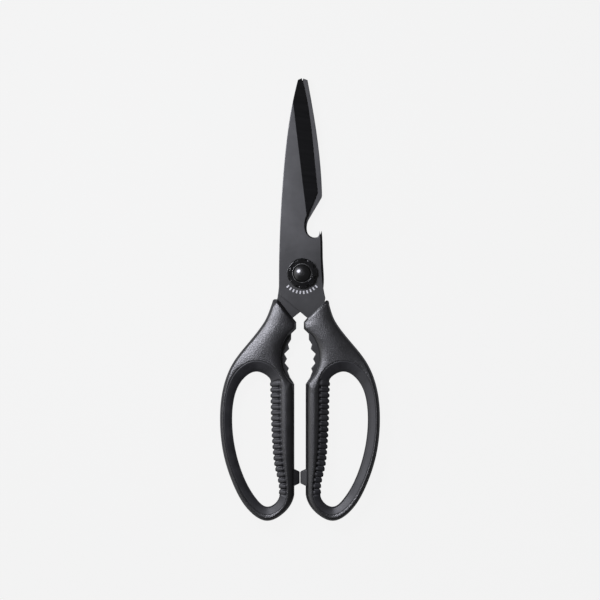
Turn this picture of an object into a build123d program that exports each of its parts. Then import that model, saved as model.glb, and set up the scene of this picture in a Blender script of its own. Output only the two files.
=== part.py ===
from build123d import *
import os
from math import atan, cos, radians, sin

# Kitchen shears that come apart at a push button pivot. They lie on their back, tips towards +Y.
# The origin is where the pivot axis meets the surface below, and the front faces +Z. Lengths in mm.

# Blades
blade_reach = 95.1
blade_half = 11.3
blade_thick = 2.4
blade_gap = 0.05
edge_thick = 0.4
bevel_width = 6.8

# Handles
grip_half = 39.0
grip_reach = 120.7
grip_lean = 0.97
grip_thick = 11.0
grip_round = 1.7
neck_round = 0.9
inner_line_share = 0.3
neck_end_share = 0.5

# Soft liners in the finger holes
liner_drop = 2.7
crest_share = 0.84
rib_count = 20
rib_pitch = 2.8
rib_width = 1.5
rib_proud = 0.45
rib_run = 3.3

# Soft stop pads between the handles
pad_length = 10.0
pad_ramp = 2.2
pad_height = 7.2
pad_place_share = 0.825
pad_gap = 0.3
plug_length = 7.4
plug_height = 5.4
plug_depth = 1.3

# Pivot stud, fixed in the rear blade
head_thick = 3.0
head_radius = 7.0
stud_radius = 4.75
stud_wall = 0.8
floor_base = 2.4
floor_thick = 0.8
clip_room_radius = 3.0
cap_radius = 3.8
cap_thick = 0.4

# Bushing and slotted nut, fixed in the front blade
bush_wall = 1.1
bush_flange_radius = 6.8
bush_flange_thick = 0.6
nut_radius = 7.3
nut_height = 2.5
nut_lip = 0.75
nut_slots = 8
nut_slot_width = 1.7
nut_slot_depth = 1.1
nut_slot_drop = 1.2
nut_slot_turn = 27
nut_bevel = 0.35

# Washer between the blades
washer_radius = 8.5
washer_thick = 0.4
washer_proud = 0.02

# Push button, plunger and lock balls
press_travel = 1.4
ball_radius = 0.8
ball_count = 3
ball_reach = 0.45
ball_draw = 0.5
ball_height = 7.0
first_ball_turn = 90
button_rise = 0.55
button_dome = 1.1
button_skin = 1.4
boss_radius = 2.2
pocket_radius = 2.1
pocket_top = 8.0
stem_radius = 0.9
stem_end = 0.1
clip_radius = 2.1
clip_thick = 0.4
clip_bite = 0.25
clip_mouth = 1.1
spring_wire = 0.45
spring_radius = 1.5
spring_turns = 4.5

# Clearances
run_gap = 0.05
ball_gap = 0.03
part_gap = 0.2
overrun = 5.0

# Heights that follow
rear_base = head_thick
rear_top = rear_base + blade_thick
front_base = rear_top + blade_gap
front_top = front_base + blade_thick
nut_top = front_top + nut_height
bore_radius = stud_radius - stud_wall
bush_bore = stud_radius + run_gap
bush_radius = bush_bore + bush_wall

# Outlines of the blades, as shares of their half width and reach, tips at the top
front_spine_shares = [(-0.177, 0.991), (-0.54, 0.784), (-0.823, 0.477), (-0.965, 0.17), (-0.996, -0.079)]
front_shoulder_share = (-0.938, -0.113)
front_throat_share = (0.239, -0.23)
front_side_shares = [(1.009, -0.127), (0.876, -0.035), (0.823, 0.067), (0.805, 0.166), (0.77, 0.217)]
front_notch_shares = [(0.77, 0.217), (0.5, 0.178), (0.25, 0.195), (0.106, 0.242), (0.204, 0.295)]
front_edge_shares = [(0.673, 0.413), (0.496, 0.631), (0.23, 0.877), (-0.013, 1.0)]
rear_tip_shares = [(0.053, 0.999), (0.239, 0.991)]
rear_spine_shares = [(0.239, 0.991), (0.549, 0.784), (0.841, 0.477), (0.867, 0.401)]
rear_slant_shares = [(0.867, 0.401), (0.85, 0.388), (0.274, 0.272)]
rear_notch_shares = [(0.274, 0.272), (0.206, 0.237), (0.3, 0.196), (0.49, 0.184), (0.85, 0.22)]
rear_side_shares = [(0.85, 0.22), (0.885, 0.17), (0.903, 0.067), (0.947, -0.035), (0.885, -0.107)]
rear_throat_share = (-0.407, -0.23)
rear_flank_shares = [(-1.062, -0.127), (-0.973, -0.035), (-0.929, 0.168), (-0.85, 0.294), (-0.673, 0.413)]
rear_edge_shares = [(-0.673, 0.413), (-0.496, 0.631), (-0.23, 0.877), (0.053, 0.999)]
bevel_low_share = (0.212, 0.285)
bevel_high_share = (-0.53, 1.02)

# Tang inside each handle, as shares of the handle's half width and reach, measured from the mid line
tang_root_shares = [(0.109, 0.195), (0.109, 0.245)]
tang_teeth_shares = [
    (0.111, 0.268), (0.149, 0.288), (0.134, 0.306), (0.196, 0.326), (0.162, 0.346),
    (0.19, 0.363), (0.139, 0.384), (0.155, 0.396), (0.124, 0.422), (0.08, 0.443),
]
tang_tail_shares = [(0.111, 0.464), (0.111, 0.663), (0.188, 0.663), (0.196, 0.48)]
tang_flank_shares = [(0.221, 0.418), (0.321, 0.356), (0.385, 0.302), (0.38, 0.24), (0.334, 0.178), (0.3, 0.13)]

# Handle outline from its outer shoulder round the bow to the inner edge, then up to the neck
bow_shares = [
    (0.432, 0.189), (0.637, 0.278), (0.837, 0.362), (0.973, 0.483), (1.0, 0.592), (0.952, 0.737),
    (0.816, 0.867), (0.621, 0.964), (0.411, 1.0), (0.216, 0.972), (0.13, 0.942), (0.071, 0.895),
]
recess_shares = [(0.071, 0.447), (0.234, 0.345), (0.123, 0.249)]
neck_shares = [(0.047, 0.225), (0.047, 0.197), (0.09, 0.18)]
shoulder_shares = {"right": [(0.343, 0.111)], "left": [(0.283, 0.109), (0.326, 0.109)]}

# Finger hole and the outer line of its liner, point by point, from the first rib round the hole
hole_shares = [
    (0.362, 0.437), (0.352, 0.522), (0.347, 0.597), (0.332, 0.688), (0.298, 0.787), (0.247, 0.872),
    (0.288, 0.923), (0.411, 0.945), (0.544, 0.913), (0.698, 0.828), (0.803, 0.722), (0.849, 0.597),
    (0.832, 0.518), (0.739, 0.439), (0.547, 0.397), (0.416, 0.413),
]
liner_shares = [
    (0.237, 0.447), (0.234, 0.522), (0.232, 0.597), (0.221, 0.688), (0.193, 0.783), (0.16, 0.866),
    (0.211, 0.936), (0.406, 0.973), (0.606, 0.935), (0.785, 0.84), (0.898, 0.731), (0.947, 0.597),
    (0.929, 0.505), (0.832, 0.414), (0.555, 0.353), (0.319, 0.386),
]

sides = {"right": 1, "left": -1}


def blade_points(shares):
    return [(across * blade_half, along * blade_reach) for across, along in shares]


def grip_points(shares, side):
    return [(side * across * grip_half - grip_lean, -along * grip_reach) for across, along in shares]


def tang_lines(side, start, end):
    """Draws the tang from the blade's throat round its teeth and tail to the blade's flank."""
    inner = grip_points(tang_root_shares + tang_teeth_shares + tang_tail_shares, side)
    outer = grip_points(tang_flank_shares, side)
    Polyline(start, *inner, outer[0])
    Spline(*outer)
    Line(outer[-1], end)


def front_outline():
    shoulder, throat = blade_points([front_shoulder_share, front_throat_share])
    spine = blade_points(front_spine_shares)
    flank = blade_points(front_side_shares)
    notch = blade_points(front_notch_shares)
    cutting = blade_points(front_edge_shares)
    with BuildSketch(Plane.XY.offset(front_base)) as outline:
        with BuildLine():
            Line(cutting[-1], spine[0])
            Spline(*spine)
            Polyline(spine[-1], shoulder, throat)
            tang_lines(sides["right"], throat, flank[0])
            Spline(*flank)
            Spline(*notch)
            Line(notch[-1], cutting[0])
            Spline(*cutting)
        make_face()
    return outline.sketch


def rear_outline():
    throat = blade_points([rear_throat_share])[0]
    tip = blade_points(rear_tip_shares)
    spine = blade_points(rear_spine_shares)
    slant = blade_points(rear_slant_shares)
    notch = blade_points(rear_notch_shares)
    side_line = blade_points(rear_side_shares)
    flank = blade_points(rear_flank_shares)
    cutting = blade_points(rear_edge_shares)
    with BuildSketch(Plane.XY.offset(rear_base)) as outline:
        with BuildLine():
            Line(*tip)
            Spline(*spine)
            Polyline(*slant)
            Spline(*notch)
            Spline(*side_line)
            Line(side_line[-1], throat)
            tang_lines(sides["left"], throat, flank[0])
            Spline(*flank)
            Spline(*cutting)
        make_face()
    return outline.sketch


def bevel_section(side, face_height):
    """Section of the wedge that is ground off a blade, square to the line where its bevel starts."""
    low, high = blade_points([bevel_low_share, bevel_high_share])
    across, along = high[0] - low[0], high[1] - low[1]
    drop_share = (blade_thick - edge_thick) / bevel_width
    reach = 2 * bevel_width
    plane = Plane(
        origin=(side * low[0], low[1], face_height),
        x_dir=(side * along, -across, 0),
        z_dir=(side * across, along, 0),
    )
    with BuildSketch(plane) as section:
        with BuildLine():
            Polyline((0, 0), (reach, reach * drop_share), (reach, -overrun), (0, -overrun), close=True)
        make_face()
    return section.sketch


bevel_length = 1.05 * blade_reach

# Front blade, with its bevel ground on the face and a seat for the bushing
with BuildPart() as front_blade:
    extrude(front_outline(), amount=blade_thick)
    extrude(bevel_section(sides["right"], front_top), amount=bevel_length, mode=Mode.SUBTRACT)
    with BuildSketch(Plane.XY.offset(front_base)):
        Circle(bush_radius)
    extrude(amount=blade_thick, mode=Mode.SUBTRACT)
    with BuildSketch(Plane.XY.offset(front_base)):
        Circle(bush_flange_radius)
    extrude(amount=bush_flange_thick, mode=Mode.SUBTRACT)

# Rear blade, with its bevel ground on the back and a seat for the washer
washer_base = rear_top + washer_proud - washer_thick
with BuildPart() as rear_blade:
    extrude(rear_outline(), amount=blade_thick)
    extrude(bevel_section(sides["left"], rear_base), amount=bevel_length, mode=Mode.SUBTRACT)
    with BuildSketch(Plane.XY.offset(rear_base)):
        Circle(stud_radius)
    extrude(amount=blade_thick, mode=Mode.SUBTRACT)
    with BuildSketch(Plane.XY.offset(washer_base)):
        Circle(washer_radius + run_gap)
    extrude(amount=washer_thick, mode=Mode.SUBTRACT)

# Soft pads that stop the handles against each other, plugged into the inner edges
pad_inner = recess_shares[0][0] * grip_half
pad_middle = pad_place_share * grip_reach
pad_run = pad_inner - pad_gap / 2


def pad_plug(side):
    with BuildSketch(Plane.XY.offset((grip_thick - plug_height) / 2)) as plug:
        with Locations((side * (pad_inner + plug_depth / 2) - grip_lean, -pad_middle)):
            Rectangle(plug_depth, plug_length)
    return plug.sketch


def stop_pad(side):
    base = (grip_thick - pad_height) / 2
    half, face = pad_length / 2, pad_length / 2 - pad_ramp
    rim = side * pad_inner - grip_lean
    tip = side * (pad_inner - pad_run) - grip_lean
    with BuildPart() as pad:
        with BuildSketch(Plane.XY.offset(base)):
            with BuildLine():
                Polyline(
                    (rim, half - pad_middle), (tip, face - pad_middle),
                    (tip, -face - pad_middle), (rim, -half - pad_middle), close=True,
                )
            make_face()
        extrude(amount=pad_height)
        extrude(pad_plug(side), amount=plug_height)
    return pad


def grip_outline(name):
    side = sides[name]
    shoulder = grip_points(shoulder_shares[name], side)
    bow = grip_points(shoulder_shares[name][-1:] + bow_shares, side)
    recess = grip_points(recess_shares, side)
    neck = grip_points(neck_shares, side)
    with BuildSketch() as outline:
        with BuildLine():
            Spline(*bow)
            Line(bow[-1], recess[0])
            ThreePointArc(*recess)
            Polyline(recess[-1], *neck, *shoulder)
        make_face()
    return outline.sketch


def ring_outline(shares, side, height):
    with BuildSketch(Plane.XY.offset(height)) as outline:
        with BuildLine():
            Spline(*grip_points(shares, side), periodic=True)
        make_face()
    return outline.sketch


def tang(name):
    return front_outline() if name == "right" else rear_outline()


def is_rounded(edge):
    """True for the long outer line of a handle and its straight inner line."""
    straight = edge.geom_type == GeomType.LINE and edge.length > inner_line_share * grip_reach
    return straight or edge.length > grip_reach


def is_neck(edge):
    """True for the short lines of the neck and for the recess beside the teeth."""
    plain = edge.geom_type in (GeomType.LINE, GeomType.CIRCLE)
    return plain and edge.center().Y > -neck_end_share * grip_reach


def handle(name):
    """Hard shell of one handle, moulded round the tang, with a hole that its liner fills."""
    side = sides[name]
    with BuildPart() as shell:
        extrude(grip_outline(name), amount=grip_thick)
        chamfer(shell.edges().filter_by(Plane.XY).filter_by(is_neck), length=neck_round)
        fillet(shell.edges().filter_by(Plane.XY).filter_by(is_rounded), radius=grip_round)
        extrude(ring_outline(liner_shares, side, 0), amount=grip_thick, mode=Mode.SUBTRACT)
        extrude(tang(name), amount=blade_thick, mode=Mode.SUBTRACT)
        extrude(pad_plug(side), amount=plug_height, mode=Mode.SUBTRACT)
    return shell


def rib_section(place, inward):
    """Section of a rib across the liner, from the crest over the hole's wall to the other crest."""
    top = grip_thick - liner_drop
    low = liner_drop - rib_proud / 2
    crest = rib_proud / 4
    plane = Plane(origin=place, x_dir=inward, z_dir=inward.cross(Vector(0, 0, 1)))
    with BuildSketch(plane) as section:
        with BuildLine():
            Polyline(
                (rib_proud, low), (rib_proud, top + rib_proud / 2),
                (-rib_run, grip_thick - crest), (-rib_run, crest), close=True,
            )
        make_face()
    return section.sketch


def grip_liner(side):
    """Soft ring in a finger hole, sloping in from the crest, with ribs on its inner side."""
    crest_shares = [
        (hole[0] + crest_share * (rim[0] - hole[0]), hole[1] + crest_share * (rim[1] - hole[1]))
        for hole, rim in zip(hole_shares, liner_shares)
    ]
    with BuildPart() as liner:
        extrude(ring_outline(liner_shares, side, 0), amount=grip_thick)
        extrude(ring_outline(hole_shares, side, 0), amount=grip_thick, mode=Mode.SUBTRACT)
        for crest_height, wall_height in ((0, liner_drop), (grip_thick, grip_thick - liner_drop)):
            mouth = [ring_outline(crest_shares, side, crest_height), ring_outline(hole_shares, side, wall_height)]
            loft(mouth, mode=Mode.SUBTRACT)
        rim = ring_outline(hole_shares, side, 0).edges()[0]
        forward = rim.position_at(rib_pitch, position_mode=PositionMode.LENGTH).Y < rim.position_at(0).Y
        for rib in range(rib_count):
            along = rib_pitch * (rib + 0.5)
            along = along if forward else rim.length - along
            place = rim.position_at(along, position_mode=PositionMode.LENGTH)
            tangent = rim.tangent_at(along, position_mode=PositionMode.LENGTH)
            inward = tangent.cross(Vector(0, 0, side if forward else -side))
            inward = inward if inward.X * side > 0 else -inward
            extrude(rib_section(place, inward), amount=rib_width / 2, both=True)
    return liner


# Pivot stud: head below the rear blade, hollow shank through both blades, floor and lock ball holes
ball_seat = stud_radius + ball_reach - ball_radius
ball_turns = [first_ball_turn + 360 * ball / ball_count for ball in range(ball_count)]
with BuildPart() as pivot_stud:
    with BuildSketch(Plane.XZ):
        with BuildLine():
            Polyline(
                (clip_room_radius, cap_thick), (cap_radius, cap_thick), (cap_radius, 0),
                (head_radius, 0), (head_radius, rear_base), (stud_radius, rear_base),
                (stud_radius, nut_top), (bore_radius, nut_top), (bore_radius, floor_base + floor_thick),
                (stem_radius + run_gap, floor_base + floor_thick), (stem_radius + run_gap, floor_base),
                (clip_room_radius, floor_base), close=True,
            )
        make_face()
    revolve(axis=Axis.Z)
    for turn in ball_turns:
        with BuildSketch(Plane(origin=(0, 0, ball_height), z_dir=(cos(radians(turn)), sin(radians(turn)), 0))):
            Circle(ball_radius + run_gap)
        extrude(amount=stud_radius + run_gap, mode=Mode.SUBTRACT)

# Cap that closes the back of the head
with BuildPart() as rear_cap:
    with BuildSketch():
        Circle(cap_radius)
    extrude(amount=cap_thick)

# Thin washer that the blades turn on
with BuildPart() as bearing_washer:
    with BuildSketch(Plane.XY.offset(washer_base)):
        Circle(washer_radius)
        Circle(stud_radius, mode=Mode.SUBTRACT)
    extrude(amount=washer_thick)

# Bushing of the front blade, with the ring groove that the lock balls snap into
bush_top = nut_top - nut_lip
with BuildPart() as pivot_bushing:
    with BuildSketch(Plane.XZ):
        with BuildLine():
            Polyline(
                (bush_bore, front_base), (bush_flange_radius, front_base),
                (bush_flange_radius, front_base + bush_flange_thick), (bush_radius, front_base + bush_flange_thick),
                (bush_radius, bush_top), (bush_bore, bush_top), close=True,
            )
        make_face()
        with Locations((ball_seat, ball_height)):
            Circle(ball_radius + run_gap, mode=Mode.SUBTRACT)
    revolve(axis=Axis.Z)

# Slotted nut that clamps the bushing to the front blade
with BuildPart() as collar_nut:
    with BuildSketch(Plane.XZ):
        with BuildLine():
            Polyline(
                (bush_radius, front_top), (nut_radius, front_top), (nut_radius, nut_top - nut_bevel),
                (nut_radius - nut_bevel, nut_top), (bush_bore, nut_top), (bush_bore, bush_top),
                (bush_radius, bush_top), close=True,
            )
        make_face()
    revolve(axis=Axis.Z)
    with BuildSketch(Plane.XY.offset(nut_top)):
        with PolarLocations(nut_radius, nut_slots, start_angle=nut_slot_turn):
            Rectangle(2 * nut_slot_depth, nut_slot_width)
    extrude(amount=-nut_slot_drop, mode=Mode.SUBTRACT)

# Plunger: stem and clip groove below, spring pocket, land and cone that carries the lock balls
ball_slope = ball_draw / press_travel
slope_angle = atan(ball_slope)
cone_radius = ball_seat - ball_radius * cos(slope_angle) - ball_gap
cone_height = ball_height - ball_radius * sin(slope_angle)
plunger_radius = bore_radius - run_gap
cone_base = cone_height - (plunger_radius - cone_radius) / ball_slope
cone_top = cone_height + press_travel + part_gap
cone_tip_radius = plunger_radius - (cone_top - cone_base) * ball_slope
land_base = floor_base + floor_thick + press_travel + part_gap
button_base = ball_height + ball_radius + press_travel + part_gap
button_edge = nut_top + button_rise
button_top = button_edge + button_dome
boss_top = button_top - button_skin
clip_base = floor_base - clip_thick
groove_radius = stem_radius - clip_bite
with BuildPart() as button_plunger:
    with BuildSketch(Plane.XZ):
        with BuildLine():
            Polyline(
                (0, clip_base - stem_end), (stem_radius, clip_base - stem_end), (stem_radius, clip_base),
                (groove_radius, clip_base), (groove_radius, floor_base), (stem_radius, floor_base),
                (stem_radius, pocket_top), (pocket_radius, pocket_top), (pocket_radius, land_base),
                (plunger_radius, land_base), (plunger_radius, cone_base), (cone_tip_radius, cone_top),
                (boss_radius, cone_top), (boss_radius, boss_top), (0, boss_top), close=True,
            )
        make_face()
    revolve(axis=Axis.Z)

# Domed button pressed onto the plunger
with BuildPart() as push_button:
    with BuildSketch(Plane.XZ):
        with BuildLine():
            Polyline(
                (0, button_top), (0, boss_top), (boss_radius, boss_top), (boss_radius, button_base),
                (plunger_radius, button_base), (plunger_radius, button_edge),
            )
            TangentArc((0, button_top), (plunger_radius, button_edge), tangent=(1, 0))
        make_face()
    revolve(axis=Axis.Z)

# Clip on the stem that keeps the button in
with BuildPart() as retaining_clip:
    with BuildSketch(Plane.XY.offset(clip_base)):
        Circle(clip_radius)
        Circle(groove_radius, mode=Mode.SUBTRACT)
        with Locations((clip_radius, 0)):
            Rectangle(2 * clip_radius, clip_mouth, mode=Mode.SUBTRACT)
    extrude(amount=clip_thick)

# Return spring round the stem
spring_low = floor_base + floor_thick + spring_wire / 2
spring_high = pocket_top - spring_wire / 2
spring_height = spring_high - spring_low
with BuildPart() as button_spring:
    with BuildLine():
        coil = Helix(spring_height / spring_turns, spring_height, spring_radius, center=(0, 0, spring_low))
    with BuildSketch(Plane(origin=coil @ 0, z_dir=coil % 0)):
        Circle(spring_wire / 2)
    sweep(is_frenet=True)

pieces = {
    "front_blade": front_blade,
    "rear_blade": rear_blade,
    "pivot_stud": pivot_stud,
    "rear_cap": rear_cap,
    "bearing_washer": bearing_washer,
    "pivot_bushing": pivot_bushing,
    "collar_nut": collar_nut,
    "button_plunger": button_plunger,
    "push_button": push_button,
    "retaining_clip": retaining_clip,
    "button_spring": button_spring,
}
for name, side in sides.items():
    pieces[f"{name}_handle"] = handle(name)
    pieces[f"{name}_grip_liner"] = grip_liner(side)
    pieces[f"{name}_stop_pad"] = stop_pad(side)
for number, turn in enumerate(ball_turns, 1):
    with BuildPart() as ball:
        with Locations((ball_seat * cos(radians(turn)), ball_seat * sin(radians(turn)), ball_height)):
            Sphere(ball_radius)
    pieces[f"lock_ball_{number}"] = ball

os.makedirs("parts", exist_ok=True)
for name, piece in pieces.items():
    piece.part.label = name
    export_step(piece.part, f"parts/{name}.step")
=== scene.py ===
# %% [markdown]
# Kitchen shears that come apart at a push button.
# The construction model gives the blades, the pivot and the size of everything. This lesson dresses it:
# it models what a hand touches, the moulded shells and the soft finger rings, and gives each finish its
# material. Nothing here changes a dimension, so every line that can be read from the construction is read.

from math import pi

import bmesh
import bpy
import numpy as np
from mathutils import Matrix, Vector
from mathutils.kdtree import KDTree


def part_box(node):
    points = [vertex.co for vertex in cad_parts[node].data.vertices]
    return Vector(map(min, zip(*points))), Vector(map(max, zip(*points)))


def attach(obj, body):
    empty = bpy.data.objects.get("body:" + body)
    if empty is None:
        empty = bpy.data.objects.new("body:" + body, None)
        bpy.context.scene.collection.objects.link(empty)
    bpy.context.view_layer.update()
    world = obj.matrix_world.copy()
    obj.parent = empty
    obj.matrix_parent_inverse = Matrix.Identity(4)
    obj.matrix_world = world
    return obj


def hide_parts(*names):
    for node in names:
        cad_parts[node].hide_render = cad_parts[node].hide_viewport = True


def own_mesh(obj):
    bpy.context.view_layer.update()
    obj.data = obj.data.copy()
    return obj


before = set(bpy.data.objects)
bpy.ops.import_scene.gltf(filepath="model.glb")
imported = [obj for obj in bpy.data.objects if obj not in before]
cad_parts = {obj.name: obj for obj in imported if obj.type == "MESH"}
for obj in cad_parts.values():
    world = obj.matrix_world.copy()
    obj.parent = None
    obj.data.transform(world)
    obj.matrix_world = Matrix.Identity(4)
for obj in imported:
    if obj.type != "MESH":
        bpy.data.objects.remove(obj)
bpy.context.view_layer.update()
mm = 0.001

# %% [markdown]
# The camera hangs straight above the shears, tips up in the picture, as a product photographer hangs one
# over a table. A long lens far away keeps the handles, which stand higher than the blades, from growing.
# Each of the picture's 600 pixels shows 0.487 mm of the object, and that sets the lens.

# %% Hang the camera over the table
pixel_size = 0.487 * mm
picture_side = 600 * pixel_size
picture_middle = Vector((-0.97, -13.05, 8.0)) * mm
camera_distance = 1.5

lens = bpy.data.cameras.new("overhead lens")
lens.sensor_width = 36.0
lens.lens = lens.sensor_width * camera_distance / picture_side
lens.clip_end = 50.0
camera = bpy.data.objects.new("overhead camera", lens)
camera.location = picture_middle + Vector((0, 0, camera_distance))
bpy.context.scene.collection.objects.link(camera)
bpy.context.scene.camera = camera
bpy.context.scene.view_settings.view_transform = "Standard"
print("Lens of", round(lens.lens), "mm for a side of", round(picture_side / mm, 1), "mm")

# %% [markdown]
# Materials are built from nodes, and most need the same few moves: put a node down, set its inputs, and
# join it to others. A few short helpers keep those lines readable.

# %% Helpers for node trees
def supply(tree, socket, value):
    """Joins an input to another node's socket, or sets it to a plain value."""
    if isinstance(value, bpy.types.NodeSocket):
        tree.links.new(value, socket)
    else:
        socket.default_value = value


def put(tree, kind, settings=None, **inputs):
    """Puts a node into a tree, with its settings, and supplies the inputs that are named."""
    node = tree.nodes.new(kind)
    for name, value in (settings or {}).items():
        setattr(node, name, value)
    for name, value in inputs.items():
        supply(tree, node.inputs[name.replace("_", " ")], value)
    return node


def compute(tree, operation, *values, kind="ShaderNodeMath", result=0):
    """The result of a math node, or of a vector math node."""
    node = put(tree, kind, {"operation": operation})
    for socket, value in zip(node.inputs, values):
        supply(tree, socket, value)
    return node.outputs[result]


def stretch(tree, value, start, end, low=0.0, high=1.0):
    """Spreads a value from start..end to low..high, and holds it at the ends."""
    spread = put(tree, "ShaderNodeMapRange", Value=value, From_Min=start, From_Max=end)
    spread.inputs["To Min"].default_value = low
    spread.inputs["To Max"].default_value = high
    return spread.outputs["Result"]


def between(tree, share, first, second):
    """A colour between two, by a share that changes over the surface. A colour may come from a socket."""
    mix = put(tree, "ShaderNodeMix", {"data_type": "RGBA"})
    supply(tree, mix.inputs[0], share)
    for socket, colour in ((mix.inputs[6], first), (mix.inputs[7], second)):
        supply(tree, socket, colour if isinstance(colour, bpy.types.NodeSocket) else (*colour, 1))
    return mix.outputs[2]


print("Node helpers ready")

# %% [markdown]
# Some effects belong to several finishes: the fine grain that spark erosion or blasting leaves in a mould
# or on steel, the lines of a grinding belt, the faint marks of handling, and a mask along every edge, which
# the finishes paint paler, partly as rubbed wear and partly as a painted sheen. Each is a node group, made
# once, with its own scale and strength as inputs. A group gives out only values that change over the
# surface, and the material decides what they do.

# %% Make the shared effects
def new_effect(name, inputs, outputs):
    """An empty node group with its inputs and outputs."""
    group = bpy.data.node_groups.new(name, "ShaderNodeTree")
    for label, kind, value in inputs:
        socket = group.interface.new_socket(name=label, in_out="INPUT", socket_type=kind)
        if value is not None:
            socket.default_value = value
    for label in outputs:
        group.interface.new_socket(name=label, in_out="OUTPUT", socket_type="NodeSocketFloat")
    return group, group.nodes.new("NodeGroupInput").outputs, group.nodes.new("NodeGroupOutput").inputs


fine_grain, given, result = new_effect(
    "fine grain",
    [("Vector", "NodeSocketVector", None), ("Scale", "NodeSocketFloat", 2000.0)],
    ["Height", "Cloud"],
)
pits = put(fine_grain, "ShaderNodeTexNoise", Vector=given["Vector"], Scale=given["Scale"], Detail=2.0)
broad = compute(fine_grain, "MULTIPLY", given["Scale"], 0.06)
clouds = put(fine_grain, "ShaderNodeTexNoise", Vector=given["Vector"], Scale=broad, Detail=3.0)
fine_grain.links.new(stretch(fine_grain, pits.outputs[0], 0.3, 0.7), result["Height"])
fine_grain.links.new(stretch(fine_grain, clouds.outputs[0], 0.35, 0.65), result["Cloud"])

grinding_lines, given, result = new_effect(
    "grinding lines",
    [("Vector", "NodeSocketVector", None), ("Fineness", "NodeSocketFloat", 3000.0)],
    ["Height", "Streak"],
)
squeeze = (0.02, 1.0, 0.3)
drawn_out = compute(grinding_lines, "MULTIPLY", given["Vector"], squeeze, kind="ShaderNodeVectorMath")
belt = put(grinding_lines, "ShaderNodeTexNoise", Vector=drawn_out, Scale=given["Fineness"], Detail=3.0)
slow = compute(grinding_lines, "MULTIPLY", given["Fineness"], 0.15)
bands = put(grinding_lines, "ShaderNodeTexNoise", Vector=drawn_out, Scale=slow, Detail=2.0)
grinding_lines.links.new(stretch(grinding_lines, belt.outputs[0], 0.3, 0.7), result["Height"])
grinding_lines.links.new(stretch(grinding_lines, bands.outputs[0], 0.35, 0.65), result["Streak"])

handling_marks, given, result = new_effect(
    "handling marks",
    [
        ("Vector", "NodeSocketVector", None),
        ("Scale", "NodeSocketFloat", 60.0),
        ("Amount", "NodeSocketFloat", 0.5),
    ],
    ["Mask"],
)
patches = put(handling_marks, "ShaderNodeTexNoise", Vector=given["Vector"], Scale=given["Scale"], Detail=5.0)
patches.inputs["Roughness"].default_value = 0.65
touched = stretch(handling_marks, patches.outputs[0], 0.42, 0.72)
handling_marks.links.new(compute(handling_marks, "MULTIPLY", touched, given["Amount"]), result["Mask"])

# The edge mask: finishes paint it paler, partly as rubbed wear and partly as a painted sheen.
edge_wear_and_sheen, given, result = new_effect(
    "edge wear and painted sheen",
    [
        ("Vector", "NodeSocketVector", None),
        ("Width", "NodeSocketFloat", 0.3 * mm),
        ("Amount", "NodeSocketFloat", 0.5),
    ],
    ["Mask"],
)
softened = put(edge_wear_and_sheen, "ShaderNodeBevel", {"samples": 4}, Radius=given["Width"]).outputs[0]
faced = put(edge_wear_and_sheen, "ShaderNodeNewGeometry").outputs["Normal"]
agreement = compute(
    edge_wear_and_sheen, "DOT_PRODUCT", softened, faced, kind="ShaderNodeVectorMath", result="Value"
)
edge = stretch(edge_wear_and_sheen, agreement, 0.995, 0.9)
broken = put(edge_wear_and_sheen, "ShaderNodeTexNoise", Vector=given["Vector"], Scale=900.0, Detail=3.0)
patchy = compute(edge_wear_and_sheen, "MULTIPLY", edge, stretch(edge_wear_and_sheen, broken.outputs[0], 0.35, 0.6))
edge_wear_and_sheen.links.new(compute(edge_wear_and_sheen, "MULTIPLY", patchy, given["Amount"]), result["Mask"])
print("Shared effects:", [group.name for group in bpy.data.node_groups])

# %% [markdown]
# A finish starts as a material with one principled shader. A helper hands back its tree, its shader and
# the object's own coordinates, and another places a shared effect in it, fed with those coordinates.

# %% Helpers for a finish
def new_finish(name, **values):
    """A material with its tree, its shader with the plain values that are named, and its coordinates."""
    finish = bpy.data.materials.new(name)
    finish.use_nodes = True
    tree = finish.node_tree
    shader = tree.nodes["Principled BSDF"]
    for label, value in values.items():
        shader.inputs[label.replace("_", " ")].default_value = value
    return finish, tree, shader, put(tree, "ShaderNodeTexCoord").outputs["Object"]


def effect(tree, group, place, **inputs):
    """Puts a shared effect into a tree and hands back its outputs."""
    node = tree.nodes.new("ShaderNodeGroup")
    node.node_tree = group
    tree.links.new(place, node.inputs["Vector"])
    for name, value in inputs.items():
        node.inputs[name].default_value = value
    return node.outputs


def feed(tree, shader, **sockets):
    """Joins sockets to the shader's inputs of those names."""
    for name, value in sockets.items():
        tree.links.new(value, shader.inputs[name.replace("_", " ")])


def relief(tree, shader, height, depth, strength, edge=0.0):
    """Raises a fine relief of that depth on the surface. Edges catch the light as if rounded by edge."""
    bump = put(tree, "ShaderNodeBump", Height=height, Distance=depth, Strength=strength)
    if edge:
        rounded_edge = put(tree, "ShaderNodeBevel", {"samples": 6}, Radius=edge)
        tree.links.new(rounded_edge.outputs[0], bump.inputs["Normal"])
    feed(tree, shader, Normal=bump.outputs[0])


print("Finish helpers ready")
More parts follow.
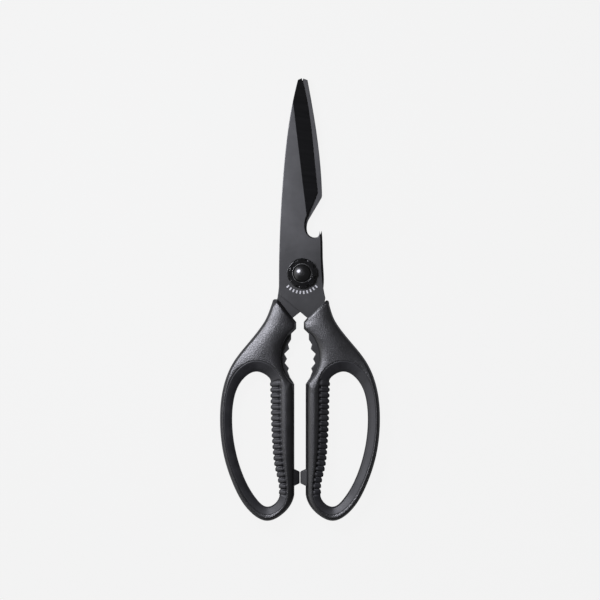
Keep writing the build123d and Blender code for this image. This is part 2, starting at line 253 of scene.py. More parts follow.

# %% [markdown]
# The blades are stamped stainless steel, ground, and then coated dark grey, so that food lets go. The flat
# faces are satin and the ground bevel is closer, with the lines of the belt running across it. The bevel's
# colour is also painted darker: that is painted shade, standing for the shade the leaning bevel takes.
# The bevel needs no mask drawn by hand: it is the only part of a blade that leans, so the upward part of
# the surface direction picks it out. Every edge is painted paler, partly as rubbed wear and partly as a
# painted sheen.

# %% Coated steel for the blades
blade_finish, tree, shader, place = new_finish("coated steel", Metallic=0.85)
across = put(tree, "ShaderNodeMapping", Vector=place, Rotation=(0, 0, 0.14))
lines = effect(tree, grinding_lines, across.outputs[0], Fineness=3200.0)
marks = effect(tree, handling_marks, place, Scale=45.0, Amount=1.0)
# Every edge is painted paler: partly rubbed wear, partly a painted sheen.
wear_and_sheen = effect(tree, edge_wear_and_sheen, place, Width=0.18 * mm, Amount=0.5)
# Leaning faces such as the bevel are painted darker: painted shade. The grinding streaks on them are real.
faced = put(tree, "ShaderNodeNewGeometry").outputs["True Normal"]
upright = put(tree, "ShaderNodeSeparateXYZ", Vector=faced).outputs["Z"]
flatness = stretch(tree, compute(tree, "ABSOLUTE", upright), 0.965, 0.995)
flat_colour = between(tree, marks["Mask"], (0.081, 0.081, 0.0815), (0.094, 0.094, 0.095))
streaked_painted_shade = between(tree, lines["Streak"], (0.03, 0.03, 0.0315), (0.038, 0.038, 0.04))
face_and_painted_shade_bevel = between(tree, flatness, streaked_painted_shade, flat_colour)
feed(tree, shader, Base_Color=between(tree, wear_and_sheen["Mask"], face_and_painted_shade_bevel, (0.14, 0.14, 0.145)))
feed(tree, shader, Roughness=stretch(tree, marks["Mask"], 0.0, 1.0, 0.31, 0.35))
relief(tree, shader, lines["Height"], 0.004 * mm, 0.5, edge=0.4 * mm)

# %% [markdown]
# The shells are glass filled nylon, moulded round the tangs in a spark eroded mould. That leaves a fine
# pebble grain which turns a highlight into a soft sheen full of tiny sparkles. The colour itself is almost
# black, so nearly all that is seen is reflection, and the grain and roughness matter more than the colour.

# %% Textured black nylon for the shells
shell_finish, tree, shader, place = new_finish("textured black nylon", Specular_IOR_Level=0.9)
grain = effect(tree, fine_grain, place, Scale=2000.0)
marks = effect(tree, handling_marks, place, Scale=70.0, Amount=1.0)
# Every edge is painted paler: partly rubbed wear, partly a painted sheen.
wear_and_sheen = effect(tree, edge_wear_and_sheen, place, Width=0.4 * mm, Amount=0.35)
body_colour = between(tree, grain["Cloud"], (0.005, 0.005, 0.0056), (0.009, 0.009, 0.01))
feed(tree, shader, Base_Color=between(tree, wear_and_sheen["Mask"], body_colour, (0.035, 0.035, 0.037)))
sheen = stretch(tree, marks["Mask"], 0.0, 1.0, 0.31, 0.37)
feed(tree, shader, Roughness=compute(tree, "MULTIPLY_ADD", grain["Height"], 0.12, sheen))
relief(tree, shader, grain["Height"], 0.065 * mm, 0.7)

# %% [markdown]
# The finger rings are a soft rubbery plastic, bonded to the shells in a second mould. They are smoother
# than the shells and a touch bluer, and they hold fine dust and the sheen of a thumb. The stop pads are a
# harder rubber with a little more shine.

# %% Soft black rubber for the rings and pads
soft_finish, tree, shader, place = new_finish("soft black rubber", Specular_IOR_Level=0.7)
grain = effect(tree, fine_grain, place, Scale=5200.0)
marks = effect(tree, handling_marks, place, Scale=110.0, Amount=1.0)
soft_colour = between(tree, grain["Cloud"], (0.006, 0.006, 0.0078), (0.0085, 0.0085, 0.0105))
feed(tree, shader, Base_Color=between(tree, marks["Mask"], soft_colour, (0.017, 0.017, 0.0195)))
feed(tree, shader, Roughness=stretch(tree, marks["Mask"], 0.0, 1.0, 0.5, 0.62))
relief(tree, shader, grain["Height"], 0.01 * mm, 0.4)

stop_finish, tree, shader, place = new_finish("stop pad rubber", Specular_IOR_Level=0.8)
grain = effect(tree, fine_grain, place, Scale=3800.0)
marks = effect(tree, handling_marks, place, Scale=240.0, Amount=1.0)
feed(tree, shader, Base_Color=between(tree, grain["Cloud"], (0.007, 0.007, 0.008), (0.012, 0.012, 0.0135)))
feed(tree, shader, Roughness=stretch(tree, marks["Mask"], 0.0, 1.0, 0.38, 0.5))
relief(tree, shader, grain["Height"], 0.01 * mm, 0.5)

# %% [markdown]
# The pivot has six finishes: bare turned steel, drawn spring steel, the blackened stud whose outer lip the
# bushing rubs bright, black enamel on the slotted nut, polished black plastic on the button, and a slippery
# washer. Turned metal keeps rings of its tool, which a wave texture in rings draws round the pivot's axis.
# Enamel pools away from sharp edges, and its edges are painted paler, partly as that thin, rubbed coat
# and partly as a painted sheen.

# %% Finishes of the pivot
def axis_distance(tree, place):
    """How far a point is from the pivot's axis, which stands at the origin."""
    apart = put(tree, "ShaderNodeSeparateXYZ", Vector=place).outputs
    flat_place = put(tree, "ShaderNodeCombineXYZ", X=apart["X"], Y=apart["Y"]).outputs[0]
    return compute(tree, "LENGTH", flat_place, kind="ShaderNodeVectorMath", result="Value")


steel_finish, tree, shader, place = new_finish("turned steel", Metallic=1.0)
turned = {"wave_type": "RINGS", "rings_direction": "Z"}
tool_rings = put(tree, "ShaderNodeTexWave", turned, Vector=place, Scale=2600.0, Distortion=1.5)
marks = effect(tree, handling_marks, place, Scale=300.0, Amount=1.0)
feed(tree, shader, Base_Color=between(tree, marks["Mask"], (0.46, 0.46, 0.45), (0.6, 0.6, 0.59)))
feed(tree, shader, Roughness=stretch(tree, marks["Mask"], 0.0, 1.0, 0.22, 0.36))
relief(tree, shader, tool_rings.outputs[1], 0.004 * mm, 0.4)

spring_finish, tree, shader, place = new_finish("drawn spring steel", Metallic=1.0)
marks = effect(tree, handling_marks, place, Scale=700.0, Amount=1.0)
grain = effect(tree, fine_grain, place, Scale=9000.0)
feed(tree, shader, Base_Color=between(tree, marks["Mask"], (0.42, 0.41, 0.4), (0.55, 0.54, 0.52)))
feed(tree, shader, Roughness=stretch(tree, marks["Mask"], 0.0, 1.0, 0.26, 0.4))
relief(tree, shader, grain["Height"], 0.004 * mm, 0.4)

enamel_finish, tree, shader, place = new_finish("black enamel")
grain = effect(tree, fine_grain, place, Scale=3000.0)
# Every edge is painted paler: partly rubbed wear, partly a painted sheen.
wear_and_sheen = effect(tree, edge_wear_and_sheen, place, Width=0.22 * mm, Amount=0.8)
enamel = between(tree, grain["Cloud"], (0.003, 0.003, 0.0032), (0.006, 0.006, 0.0064))
feed(tree, shader, Base_Color=between(tree, wear_and_sheen["Mask"], enamel, (0.06, 0.06, 0.061)))
feed(tree, shader, Roughness=stretch(tree, grain["Cloud"], 0.0, 1.0, 0.12, 0.2))
relief(tree, shader, grain["Height"], 0.003 * mm, 0.3, edge=0.4 * mm)

stud_finish, tree, shader, place = new_finish("blackened steel stud", Metallic=1.0)
outer_lip = stretch(tree, axis_distance(tree, place), 4.32 * mm, 4.46 * mm)
marks = effect(tree, handling_marks, place, Scale=400.0, Amount=1.0)
bare = between(tree, marks["Mask"], (0.14, 0.14, 0.14), (0.26, 0.26, 0.255))
feed(tree, shader, Base_Color=between(tree, outer_lip, (0.012, 0.012, 0.0125), bare))
feed(tree, shader, Roughness=stretch(tree, marks["Mask"], 0.0, 1.0, 0.2, 0.34))
grain = effect(tree, fine_grain, place, Scale=5000.0)
relief(tree, shader, grain["Height"], 0.003 * mm, 0.3, edge=0.15 * mm)

gloss_finish, tree, shader, place = new_finish("polished black button", Coat_Weight=0.6, Coat_Roughness=0.05)
grain = effect(tree, fine_grain, place, Scale=900.0)
marks = effect(tree, handling_marks, place, Scale=500.0, Amount=1.0)
feed(tree, shader, Base_Color=between(tree, grain["Cloud"], (0.002, 0.002, 0.0022), (0.004, 0.004, 0.0042)))
feed(tree, shader, Roughness=stretch(tree, marks["Mask"], 0.0, 1.0, 0.3, 0.36))
dimple = put(
    tree, "ShaderNodeMapRange", {"interpolation_type": "SMOOTHSTEP"},
    Value=axis_distance(tree, place), From_Min=0.8 * mm, From_Max=1.2 * mm
)
relief(tree, shader, dimple.outputs["Result"], 0.06 * mm, 0.8)

washer_finish, tree, shader, place = new_finish("slippery washer")
grain = effect(tree, fine_grain, place, Scale=2400.0)
feed(tree, shader, Base_Color=between(tree, grain["Cloud"], (0.3, 0.29, 0.27), (0.38, 0.37, 0.34)))
feed(tree, shader, Roughness=stretch(tree, grain["Cloud"], 0.0, 1.0, 0.38, 0.5))
print("Finishes:", [finish.name for finish in bpy.data.materials])

# %% [markdown]
# The blades and the pivot have the right shape already, because they are turned and ground parts with
# plain faces. They stay as constructed and only change their finish.

# %% Dress the constructed parts
constructed_finishes = {
    "front_blade": blade_finish,
    "rear_blade": blade_finish,
    "pivot_stud": stud_finish,
    "rear_cap": enamel_finish,
    "bearing_washer": washer_finish,
    "pivot_bushing": steel_finish,
    "collar_nut": enamel_finish,
    "button_plunger": steel_finish,
    "push_button": gloss_finish,
    "retaining_clip": spring_finish,
    "lock_ball_1": steel_finish,
    "lock_ball_2": steel_finish,
    "lock_ball_3": steel_finish,
}
for node, finish in constructed_finishes.items():
    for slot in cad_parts[node].material_slots:
        slot.material = finish
print("Dressed", len(constructed_finishes), "constructed parts")

# %% [markdown]
# The shells and rings start from the construction's own outlines. A copy of a part is joined into a closed
# form and cut by a level plane, and what the cut leaves is walked round into loops of points. Sampling a
# loop evenly, with the direction into the plastic at each point, makes it a ruler for what follows.
# The handles mirror each other about a line a millimetre to the left of the pivot, and the tip of each
# shell is a touch fuller than the outline, as moulded plastic is where it closes round a blade.

# %% Read an outline from a constructed part
def cut_loops(node, height):
    """The closed lines in which a level plane cuts a part, the longest first."""
    form = bmesh.new()
    form.from_mesh(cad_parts[node].data)
    bmesh.ops.remove_doubles(form, verts=form.verts, dist=0.001 * mm)
    everything = form.verts[:] + form.edges[:] + form.faces[:]
    bmesh.ops.bisect_plane(
        form, geom=everything, plane_co=(0, 0, height), plane_no=(0, 0, 1), clear_outer=True, clear_inner=True
    )
    loops, left = [], set(form.verts)
    for point in form.verts:
        loop = []
        while point in left:
            left.discard(point)
            loop.append(point.co.xy[:])
            after = [edge.other_vert(point) for edge in point.link_edges]
            point = next((corner for corner in after if corner in left), None)
        if loop:
            loops.append(np.array(loop))
    form.free()
    return sorted(loops, key=loop_length, reverse=True)


def loop_length(loop):
    return float(np.linalg.norm(np.roll(loop, -1, axis=0) - loop, axis=1).sum())


def even_loop(loop, step):
    """The same line anticlockwise, with points a step apart."""
    after = np.roll(loop, -1, axis=0)
    if (loop[:, 0] * after[:, 1] - after[:, 0] * loop[:, 1]).sum() < 0:
        loop = loop[::-1]
    closed = np.vstack([loop, loop[:1]])
    along = np.concatenate([[0], np.cumsum(np.linalg.norm(np.diff(closed, axis=0), axis=1))])
    places = np.linspace(0, along[-1], max(8, round(along[-1] / step)), endpoint=False)
    return np.column_stack([np.interp(places, along, closed[:, axis]) for axis in (0, 1)])


def loop_inward(loop):
    """Direction to the inside of an anticlockwise loop at each of its points."""
    ahead = np.roll(loop, -3, axis=0) - np.roll(loop, 3, axis=0)
    ahead /= np.linalg.norm(ahead, axis=1)[:, None]
    return np.column_stack([-ahead[:, 1], ahead[:, 0]])


def rolling_mean(values, window):
    """Averages each value with its neighbours on a closed line."""
    wrapped = np.concatenate([values[-window:], values, values[:window]])
    return np.convolve(wrapped, np.ones(window) / window, mode="same")[window:-window]


def ease(value, start, end):
    """Goes smoothly from 0 at start to 1 at end."""
    share = np.clip((value - start) / (end - start), 0, 1)
    return share * share * (3 - 2 * share)


middle_shift = 0.97 * mm
fine_step = 0.05 * mm
section_height = 9.0 * mm
tip_side = 13.2 * mm
tip_depth = 14.0 * mm
tip_swell = 0.5 * mm
swell_reach = (2 * mm, 11 * mm)
sides = {"right": 1, "left": -1}
shell_lines = {}
for name, side in sides.items():
    loops = cut_loops(f"{name}_handle", section_height)
    outer, hole = [even_loop(loop, fine_step) for loop in loops[:2]]
    from_tip = np.hypot(outer[:, 0] + middle_shift - side * tip_side, outer[:, 1] + tip_depth)
    outer -= loop_inward(outer) * (tip_swell * (1 - ease(from_tip, *swell_reach)))[:, None]
    shell_lines[name] = [outer, hole]
    print(name, "shell: lines of", [round(loop_length(loop) / mm, 1) for loop in loops], "mm")

# %% [markdown]
# A moulded shell has no flat faces and no sharp outer edge, yet its outline in plan is exact. It could be
# modelled from a few big faces with a subdivision surface, but then the outline drifts. Here a plate with
# the exact outline is cut into small even faces first, and each point is then raised or lowered by a rule
# that only needs its distance from the outline, as a pattern maker files a flat blank by gauge.

# %% Helpers for moulded forms
def plate(loops, low, high):
    """A closed plate between two levels, bounded by the loops."""
    form = bmesh.new()
    for loop in loops:
        corners = [form.verts.new((x, y, low)) for x, y in loop]
        for first, second in zip(corners, corners[1:] + corners[:1]):
            form.edges.new((first, second))
    bmesh.ops.triangle_fill(form, use_beauty=True, edges=form.edges[:])
    raised = bmesh.ops.extrude_face_region(form, geom=form.faces[:])["geom"]
    tops = [part for part in raised if isinstance(part, bmesh.types.BMVert)]
    bmesh.ops.translate(form, vec=(0, 0, high - low), verts=tops)
    bmesh.ops.recalc_face_normals(form, faces=form.faces[:])
    return form


def piece_from(form, name, finish):
    mesh = bpy.data.meshes.new(name)
    form.to_mesh(mesh)
    form.free()
    piece = bpy.data.objects.new(name, mesh)
    bpy.context.scene.collection.objects.link(piece)
    mesh.materials.append(finish)
    return piece


def even_faces(piece, size):
    """Cuts a closed piece into even faces of about that size."""
    remesh = piece.modifiers.new("even faces", "REMESH")
    remesh.mode = "VOXEL"
    remesh.voxel_size = size
    finish = piece.data.materials[0]
    piece.data = bpy.data.meshes.new_from_object(piece.evaluated_get(bpy.context.evaluated_depsgraph_get()))
    piece.modifiers.clear()
    piece.data.materials.clear()
    piece.data.materials.append(finish)
    points = np.empty(len(piece.data.vertices) * 3, np.float32)
    piece.data.vertices.foreach_get("co", points)
    return points.reshape(-1, 3).astype(float)


def relax(form, corners, factor):
    """Moves corners towards the middle of their neighbours, and shades the form smooth."""
    bmesh.ops.smooth_vert(
        form, verts=corners, factor=factor, use_axis_x=True, use_axis_y=True, use_axis_z=True
    )
    for face in form.faces:
        face.smooth = True


def settle(piece, points, crisp):
    """Puts the shaped points back and evens the surface. Crisp points stay where they are."""
    piece.data.vertices.foreach_set("co", points.astype(np.float32).ravel())
    form = bmesh.new()
    form.from_mesh(piece.data)
    free = [corner for corner, held in zip(form.verts, crisp) if not held]
    for _ in range(2):
        relax(form, free, 0.5)
    form.to_mesh(piece.data)
    form.free()
    print(piece.name, len(piece.data.polygons), "faces")


def gauge(loop, points):
    """How far each point is from a loop in plan, and which of the loop's points is the nearest."""
    tree = KDTree(len(loop))
    for place, (x, y) in enumerate(loop):
        tree.insert((x, y, 0), place)
    tree.balance()
    found = [tree.find((x, y, 0)) for x, y in points[:, :2]]
    return np.array([gap for _, _, gap in found]), np.array([place for _, place, _ in found])


print("Moulding helpers ready")

# %% [markdown]
# The surface rule is made of three parts, each read from a distance in plan. A round runs along the rim,
# narrow outside and wider along the bars that face each other. A slope runs down to the finger hole, so
# that the edge doesn't press a line into the finger. Between them the neck is arched like a barrel, which
# is what draws the long highlight down it. Shell and ring share the rule, so their surfaces meet.
# Each size of the rim and the slope has three values: for the necks, for the outer limbs and for the inner
# bars. They blend into each other by depth, the distance below the pivot, and by distance from the middle.

# %% The surface rule of the handles
half_height = 5.5 * mm
rim_drop = (1.6 * mm, 3.0 * mm, 3.2 * mm)
rim_reach = (0.9 * mm, 1.7 * mm, 4.4 * mm)
slope_steepness = (0.43, 0.37, 0.34)
slope_reach = (5.4 * mm, 6.8 * mm, 7.0 * mm)
slope_share = (0.6, 0.8, 0.6)
slope_power = 1.3
limb_start = (36 * mm, 60 * mm)
bar_start = (46 * mm, 60 * mm)
bar_end = (106 * mm, 120 * mm)
bar_side = (15 * mm, 25 * mm)
crisp_half_width = 12.6 * mm
crisp_depth = 54.2 * mm
hole_height = 4.9 * mm
rib_pitch = 2.8 * mm


def handle_edges(name):
    """The rounded rim of a shell and its crisp inner line, each with its inward directions."""
    line = shell_lines[name][0]
    inward = loop_inward(line)
    crisp = (np.abs(line[:, 0] + middle_shift) < crisp_half_width) & (-line[:, 1] < crisp_depth)
    return line[~crisp], inward[~crisp], line[crisp], inward[crisp]


def hole_line(name):
    """The hole's edge with its ribs averaged away."""
    line = even_loop(cut_loops(f"{name}_grip_liner", hole_height)[1], fine_step)
    window = round(rib_pitch / fine_step)
    return np.column_stack([rolling_mean(line[:, axis], window) for axis in (0, 1)])


def rounded(gap, drop, reach):
    """A quarter of an ellipse, full drop at the edge and none from reach on."""
    return drop * (1 - np.sqrt(1 - np.clip(1 - gap / reach, 0, 1) ** 2))


def handle_fall(plan, rim_gap, hole_gap):
    """How far the surface lies below the top at places in plan, because of its rim and its hole."""
    side, depth = np.abs(plan[:, 0] + middle_shift), -plan[:, 1]
    on_bar = (1 - ease(side, *bar_side)) * (1 - ease(depth, *bar_end)) * ease(depth, *bar_start)
    on_limb = ease(depth, *limb_start)

    def here(values):
        neck, limb, bar = values
        return neck + (limb - neck) * on_limb + (bar - limb) * on_bar

    slope_width = np.minimum(here(slope_reach), here(slope_share) * (rim_gap + hole_gap))
    to_hole = np.clip(1 - hole_gap / slope_width, 0, 1)
    slope = here(slope_steepness) * slope_width * to_hole**slope_power
    return rounded(rim_gap, here(rim_drop), here(rim_reach)) + slope


print("Surface rule ready")

# %% [markdown]
# The recess round the teeth and the mouth that the blade goes into end in a crisp edge with a small chamfer,
# because the halves of the mould meet the blades there. Their walls lean back a little, so that the part
# leaves its mould. The rules work above and below the middle plane alike, but for one thing: both shells
# come out of the same mould and one is turned over, and the mouth leans back more on one of its faces.

# %% Shape the two shells
face_size = 0.33 * mm
snap_reach = 0.4 * face_size
level_gain = 1.03
chamfer_drop = 0.19 * mm
chamfer_width = 0.8 * mm
barrel_drop = 1.4 * mm
inner_share = 0.55
mouth_drop = 0.7 * mm
mouth_reach = 15.0 * mm
mouth_depth = 23.0 * mm
recess_drop = 0.8 * mm
recess_reach = 5.0 * mm
recess_start = 30.0 * mm
neck_end = 36.0 * mm
barrel_end = 52.0 * mm
rim_tuck = 0.3 * mm
tuck_reach = 2.5 * mm
mouth_draft = 0.08
turned_draft = 0.22
recess_draft = 0.1
draft_reach = 5.0 * mm
draft_turn = (-(mouth_depth + 9 * mm), -(mouth_depth + 1 * mm))


def near(gap, reach):
    """Goes from 1 at a line to 0 at a distance of reach."""
    return np.clip(1 - gap / reach, 0, 1)


shells = {}
for name in sides:
    outline = shell_lines[name][0]
    coarse = [line[::6] for line in shell_lines[name]]
    shell = piece_from(plate(coarse, 0, 2 * half_height), f"{name}_shell", shell_finish)
    points = even_faces(shell, face_size)
    edge_gap, edge_place = gauge(outline, points)
    at_edge = edge_gap < snap_reach
    points[at_edge, :2] = outline[edge_place[at_edge]]
    depth = -points[:, 1]

    rim, rim_inward, inner, inner_inward = handle_edges(name)
    is_mouth = -inner[:, 1] < mouth_depth
    rim_gap, rim_place = gauge(rim, points)
    inner_gap, inner_place = gauge(inner, points)
    mouth_gap, _ = gauge(inner[is_mouth], points)
    side_gap, _ = gauge(inner[~is_mouth], points)
    hole_gap, _ = gauge(hole_line(name), points)

    across = (rim_gap - side_gap) / (rim_gap + side_gap)
    barrel = barrel_drop * across**2 * np.where(across > 0, inner_share, 1)
    barrel *= 1 - ease(depth, neck_end, barrel_end)
    mouth = mouth_drop * near(mouth_gap, mouth_reach) ** 2
    to_recess = ease(depth, recess_start, neck_end)
    recess = recess_drop * near(inner_gap, recess_reach) ** 2 * to_recess
    fall = handle_fall(points, rim_gap, hole_gap)
    chamfer = chamfer_drop * near(inner_gap, chamfer_width)
    drop = np.cbrt(fall**3 + recess**3) + barrel + mouth + chamfer

    level = np.clip(level_gain * (points[:, 2] / half_height - 1), -1, 1)
    tuck = rim_tuck * level**4 * near(rim_gap, tuck_reach) ** 2
    at_mouth = np.where(level * sides[name] > 0, ease(inner[inner_place, 1], *draft_turn), 0)
    draft = turned_draft + (mouth_draft - turned_draft) * at_mouth
    draft += (recess_draft - draft) * to_recess
    lean_back = draft * np.abs(level) * half_height * near(inner_gap, draft_reach) ** 2
    points[:, :2] += rim_inward[rim_place] * tuck[:, None]
    points[:, :2] += inner_inward[inner_place] * lean_back[:, None]
    points[:, 2] = half_height + level * (half_height - drop)
    settle(shell, points, inner_gap < snap_reach)
    shells[name] = shell

# %% [markdown]
# A finger ring fills the hole of its shell. Twenty ribs on the straight inner side give grip.
# In plan they ripple the hole's edge, and between them run grooves that get deeper outwards and end in a
# steep wall just before the shell. The ribs themselves fall off there too, into a channel along the seam.
# Ribs this regular ask for an orderly mesh. So a loop of edges is laid on the hole's wall and extruded
# step by step up the wall, over the top, down outside and back below, each loop put where the rule says,
# and the last is bridged to the first. Ten stations fall on each rib. Where something starts or ends is
# given in shares of the way from the hole's edge to the seam.

# %% Rulers for a finger ring
rib_count = 20
rib_stations = 10
first_rib = (14.118 * mm, 52.746 * mm)
seam_cover = 0.35 * mm


def seam_partners(seam, hole):
    """The point of the seam that faces each point of the hole's edge."""
    _, place = gauge(seam, hole)
    turn = np.unwrap(place * 2 * pi / len(seam)) * len(seam) / (2 * pi)
    even = np.linspace(0, len(seam), len(hole), endpoint=False)
    facing = (even + rolling_mean(turn - even, rib_stations - 1)) % len(seam)
    closed = np.vstack([seam, seam[:1]])
    return np.column_stack([np.interp(facing, np.arange(len(closed)), closed[:, axis]) for axis in (0, 1)])


def along_ribs(hole, side):
    """How far each station is from the first rib, downwards along the inner side of the hole."""
    step = loop_length(hole) / len(hole)
    from_first = np.hypot(hole[:, 0] + middle_shift - side * first_rib[0], hole[:, 1] + first_rib[1])
    return ((side * (np.arange(len(hole)) - np.argmin(from_first))) % len(hole)) * step


print("Ring rulers ready")

# %% Shape the two finger rings
wall_levels = (0, 0.35, 0.65, 0.87)
outside_levels = (0.5, 0, -0.5)
top_steps = 26
rib_lead = 0.5 * mm
rib_ripple = 0.6 * mm
rib_crest = (0.05, 0.5)
groove_depth = 1.5 * mm
groove_start = 0.1
groove_end = (0.78, 0.9)
channel_depth = 0.4 * mm
channel_start = (0.6, 0.9)
channel_end = (0.93, 1)
seam_sink = 0.25 * mm
sink_start = (0.88, 1)
edge_tuck = 0.3 * mm
edge_reach = 1.7 * mm


def ring_loops(name, side):
    """Loops of points for a ring: up the wall, over the top, down outside and back below."""
    hole = even_loop(hole_line(name), rib_pitch / rib_stations)
    seam = seam_partners(shell_lines[name][1], hole)
    width = np.linalg.norm(seam - hole, axis=1)
    seam += (seam - hole) / width[:, None] * seam_cover
    rim = handle_edges(name)[0]
    inward = loop_inward(hole)
    down = along_ribs(hole, side)
    last = rib_count * rib_pitch
    ribbed = ease(down, 0, rib_lead) * (1 - ease(down, last - rib_lead, last))
    pad = ease(0.5 - 0.5 * np.cos(2 * pi * down / rib_pitch), *rib_crest)
    steps = np.linspace(0, 1, top_steps)
    route = [(0, level) for level in wall_levels] + [(step, 1) for step in steps]
    route += [(1, level) for level in outside_levels] + [(step, -1) for step in steps[::-1]]
    route += [(0, -level) for level in wall_levels[:0:-1]]
    loops = []
    for share, level in route:
        plan = hole + (seam - hole) * share
        rim_gap, _ = gauge(rim, plan)
        height = half_height - handle_fall(plan, rim_gap, share * (width + seam_cover))
        height -= seam_sink * ease(share, *sink_start)
        groove = groove_depth * (groove_start + share) * (1 - ease(share, *groove_end)) * (1 - pad)
        channel = channel_depth * ease(share, *channel_start) * (1 - ease(share, *channel_end))
        height -= (groove + channel) * ribbed
        at_edge = 1 - ease(share * width, 0, edge_reach)
        reach = (rib_ripple * (pad - 0.5) * ribbed - edge_tuck * level**6) * at_edge
        plan = plan + inward * reach[:, None]
        loops.append(np.column_stack([plan, half_height + level * height]))
    return loops


def looped_form(loops):
    """A closed form from loops of points, each extruded from the one before."""
    form = bmesh.new()
    station = form.verts.layers.int.new("station")
    first = [form.verts.new(point) for point in loops[0]]
    for place, corner in enumerate(first):
        corner[station] = place
    start = edges = [form.edges.new(pair) for pair in zip(first, first[1:] + first[:1])]
    for loop in loops[1:]:
        made = bmesh.ops.extrude_edge_only(form, edges=edges)["geom"]
        edges = [part for part in made if isinstance(part, bmesh.types.BMEdge)]
        for corner in {corner for edge in edges for corner in edge.verts}:
            corner.co = loop[corner[station]]
    bmesh.ops.bridge_loops(form, edges=start + edges)
    bmesh.ops.recalc_face_normals(form, faces=form.faces[:])
    return form


rings = {}
for name, side in sides.items():
    form = looped_form(ring_loops(name, side))
    relax(form, form.verts[:], 0.35)
    rings[name] = piece_from(form, f"{name}_finger_ring", soft_finish)
    loose = sum(edge.is_loose for edge in rings[name].data.edges)
    print(rings[name].name, len(rings[name].data.polygons), "faces,", loose, "loose edges")

# %% [markdown]
# The stop pads are small rubber blocks that take the blow when the shears close. Their outline comes from
# the construction too. The side towards the handle is pushed in under the shell's round, the faces slope
# down to the tip, and all edges get a small bevel, as a pressed rubber part has.

# %% Shape the two stop pads
pad_depth = 2.2 * mm
pad_bevel = 0.45 * mm
pad_slope = 1.6 * mm
pads = {}
for name, side in sides.items():
    low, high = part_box(f"{name}_stop_pad")
    outline = cut_loops(f"{name}_stop_pad", low.z + 0.5 * mm)[0]
    form = plate([outline], low.z, high.z)
    bmesh.ops.dissolve_limit(form, angle_limit=0.05, verts=form.verts[:], edges=form.edges[:])
    back = max(side * corner.co.x for corner in form.verts)
    hidden = [corner for corner in form.verts if side * corner.co.x > back - 0.1 * mm]
    bmesh.ops.translate(form, vec=(side * pad_depth, 0, 0), verts=hidden)
    for corner in set(form.verts) - set(hidden):
        corner.co.z += pad_slope if corner.co.z < (low.z + high.z) / 2 else -pad_slope
    bmesh.ops.bevel(
        form, geom=form.edges[:], offset=pad_bevel, segments=3, profile=0.5, affect="EDGES", material=-1
    )
    pads[name] = piece_from(form, f"{name}_bumper", stop_finish)
    print(pads[name].name, len(pads[name].data.polygons), "faces")

# %% [markdown]
# The spring under the button gets shorter as the button goes down. A constructed part can't change its
# shape, so the spring is wound again here. One end of its wire is a small disc, and a screw motion sweeps
# that disc up round the axis, as a spring winder feeds wire past a turning mandrel.

# %% Wind the return spring
spring_turns = 4.5
turn_steps = 24
wire_radius = 0.225 * mm
spring_low, spring_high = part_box("button_spring")
coil_radius = spring_high.x - wire_radius
coil_rise = spring_high.z - spring_low.z - 2 * wire_radius
coil_steps = round(spring_turns * turn_steps)
first_disc = Matrix.Translation((coil_radius, 0, spring_low.z + wire_radius)) @ Matrix.Rotation(pi / 2, 4, "X")
form = bmesh.new()
bmesh.ops.create_circle(form, cap_ends=True, radius=wire_radius, segments=12, matrix=first_disc)
bmesh.ops.spin(
    form, geom=form.verts[:] + form.edges[:] + form.faces[:], cent=(0, 0, 0), axis=(0, 0, 1),
    dvec=(0, 0, coil_rise / coil_steps), angle=2 * pi * spring_turns, steps=coil_steps
)
bmesh.ops.recalc_face_normals(form, faces=form.faces[:])
for face in form.faces:
    face.smooth = len(face.verts) == 4
spring = piece_from(form, "return_spring", spring_finish)
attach(spring, "rear_half")
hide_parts("button_spring")
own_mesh(spring)

# %% [markdown]
# Under the collar an arc of pale marks shows where the thumb presses. Real ones are printed. Here each is a
# thin block laid on the blade's face: one block is made, moved out from the pivot, and spun round it with
# copies. A printed image would need a picture file, and a mask in the blade's material would blur.

# %% Print the press marks
mark_reach = 9.4 * mm
mark_count = 10
mark_size = Vector((0.7, 1.5, 0.03)) * mm
half_arc = 0.82
blade_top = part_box("front_blade")[1].z
mark_finish, tree, shader, place = new_finish("pale printed marks", Roughness=0.6)
grain = effect(tree, fine_grain, place, Scale=4000.0)
feed(tree, shader, Base_Color=between(tree, grain["Cloud"], (0.42, 0.42, 0.43), (0.52, 0.52, 0.53)))
form = bmesh.new()
bmesh.ops.create_cube(form, size=1.0, matrix=Matrix.Diagonal((*mark_size, 1)))
bmesh.ops.translate(form, vec=(0, -mark_reach, blade_top), verts=form.verts[:])
bmesh.ops.rotate(form, cent=(0, 0, 0), matrix=Matrix.Rotation(-half_arc, 3, "Z"), verts=form.verts[:])
bmesh.ops.spin(
    form, geom=form.faces[:], cent=(0, 0, 0), axis=(0, 0, 1), angle=2 * half_arc,
    steps=mark_count - 1, use_duplicate=True, dvec=(0, 0, 0)
)
press_marks = piece_from(form, "press_marks", mark_finish)
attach(press_marks, "front_half")
print(press_marks.name, "stand at a height of", round(blade_top / mm, 2), "mm")

# %% [markdown]
# Every new piece is hung on the body it moves with, and the constructed part it stands for is hidden.
# After this the shears can be opened, and each shell swings with its own blade.

# %% Hang the new pieces on the mechanism
bodies = {"right": "front_half", "left": "rear_half"}
for name, body in bodies.items():
    for piece, node, finish_slot in (
        (shells[name], f"{name}_handle", "hard_shell"),
        (rings[name], f"{name}_grip_liner", "soft_liner"),
        (pads[name], f"{name}_stop_pad", "stop_rubber"),
    ):
        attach(piece, body)
        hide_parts(node)
print("Six new pieces ride on", list(bodies.values()))

# %% [markdown]
# The table is one pale matt surface. Rays that come straight from the camera see it glow nearly evenly, so
# the background is even while the shadow of the shears stays. Black plastic mirrors the table at its rims,
# so rays that come by way of a mirror see only a little of that glow.

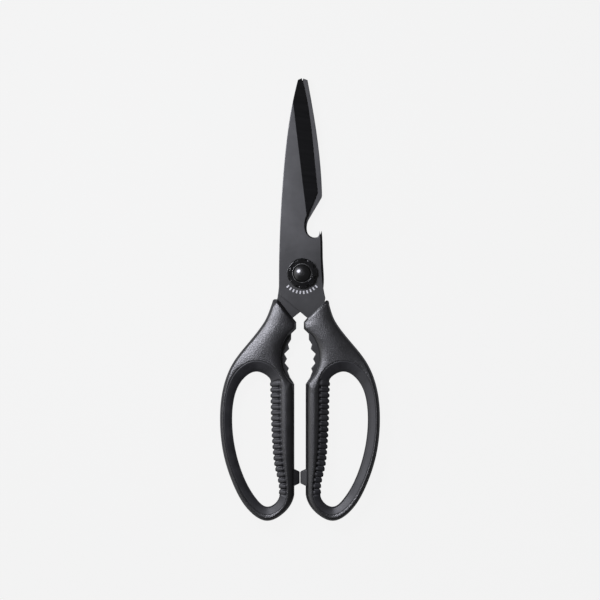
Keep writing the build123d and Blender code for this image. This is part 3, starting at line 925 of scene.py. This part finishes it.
# %% Lay the table
table_colour = 0.94
camera_share = 0.94
mirror_share = 0.06
table_gap = 0.05 * mm
form = bmesh.new()
bmesh.ops.create_grid(form, x_segments=1, y_segments=1, size=6.0)
table_finish, tree, shader, place = new_finish("pale table", Roughness=0.8)
marks = effect(tree, handling_marks, place, Scale=3.0, Amount=1.0)
feed(tree, shader, Base_Color=between(tree, marks["Mask"], (0.26, 0.26, 0.26), (0.245, 0.245, 0.245)))
seen = put(tree, "ShaderNodeLightPath").outputs
mirrored = compute(tree, "MAXIMUM", seen["Is Glossy Ray"], seen["Is Transmission Ray"])
in_mirror = compute(tree, "MULTIPLY", mirrored, mirror_share)
share = compute(tree, "MULTIPLY_ADD", seen["Is Camera Ray"], camera_share, in_mirror)
glow = put(tree, "ShaderNodeEmission", Color=(*(table_colour,) * 3, 1), Strength=1.0)
mixed = put(tree, "ShaderNodeMixShader")
for socket, output in zip(mixed.inputs, (share, shader.outputs[0], glow.outputs[0])):
    tree.links.new(output, socket)
tree.links.new(mixed.outputs[0], tree.nodes["Material Output"].inputs["Surface"])
bmesh.ops.translate(form, vec=(0, 0, -table_gap), verts=form.verts[:])
table = piece_from(form, "pale_table", table_finish)
print("Table laid")

# %% [markdown]
# Black objects are lit by what they mirror, not by how much light falls on them. One round softbox hangs
# close by at the upper left. It draws the long highlights down the left flanks, and because it is close, the
# flat blades get darker away from it. A pale wall on the left lights whatever leans steeply to the left,
# such as the rims and the ribs. The rest of the studio is dark, so the right flanks go black.

# %% Set the lamp and the studio
softbox = bpy.data.lights.new("left softbox", "AREA")
softbox.shape = "DISK"
softbox.size = 0.13
softbox.energy = 1.08
softbox.color = (0.895, 0.9, 1.0)
holder = bpy.data.objects.new("left softbox", softbox)
holder.location = (-0.13, 0.08, 0.27)
holder.rotation_euler = (picture_middle - holder.location).to_track_quat("-Z", "Y").to_euler()
holder.visible_camera = False
bpy.context.scene.collection.objects.link(holder)

world = bpy.data.worlds.new("studio")
world.use_nodes = True
bpy.context.scene.world = world
tree = world.node_tree
ceiling = 0.09
wall_edge = -0.7
open_edge = -0.45
way = put(tree, "ShaderNodeSeparateXYZ", Vector=put(tree, "ShaderNodeTexCoord").outputs["Generated"])
past_wall = stretch(tree, way.outputs["X"], wall_edge, open_edge)
surroundings = between(tree, past_wall, (table_colour,) * 3, (ceiling,) * 3)
tree.links.new(surroundings, tree.nodes["Background"].inputs["Color"])
print("Lamp and studio set")
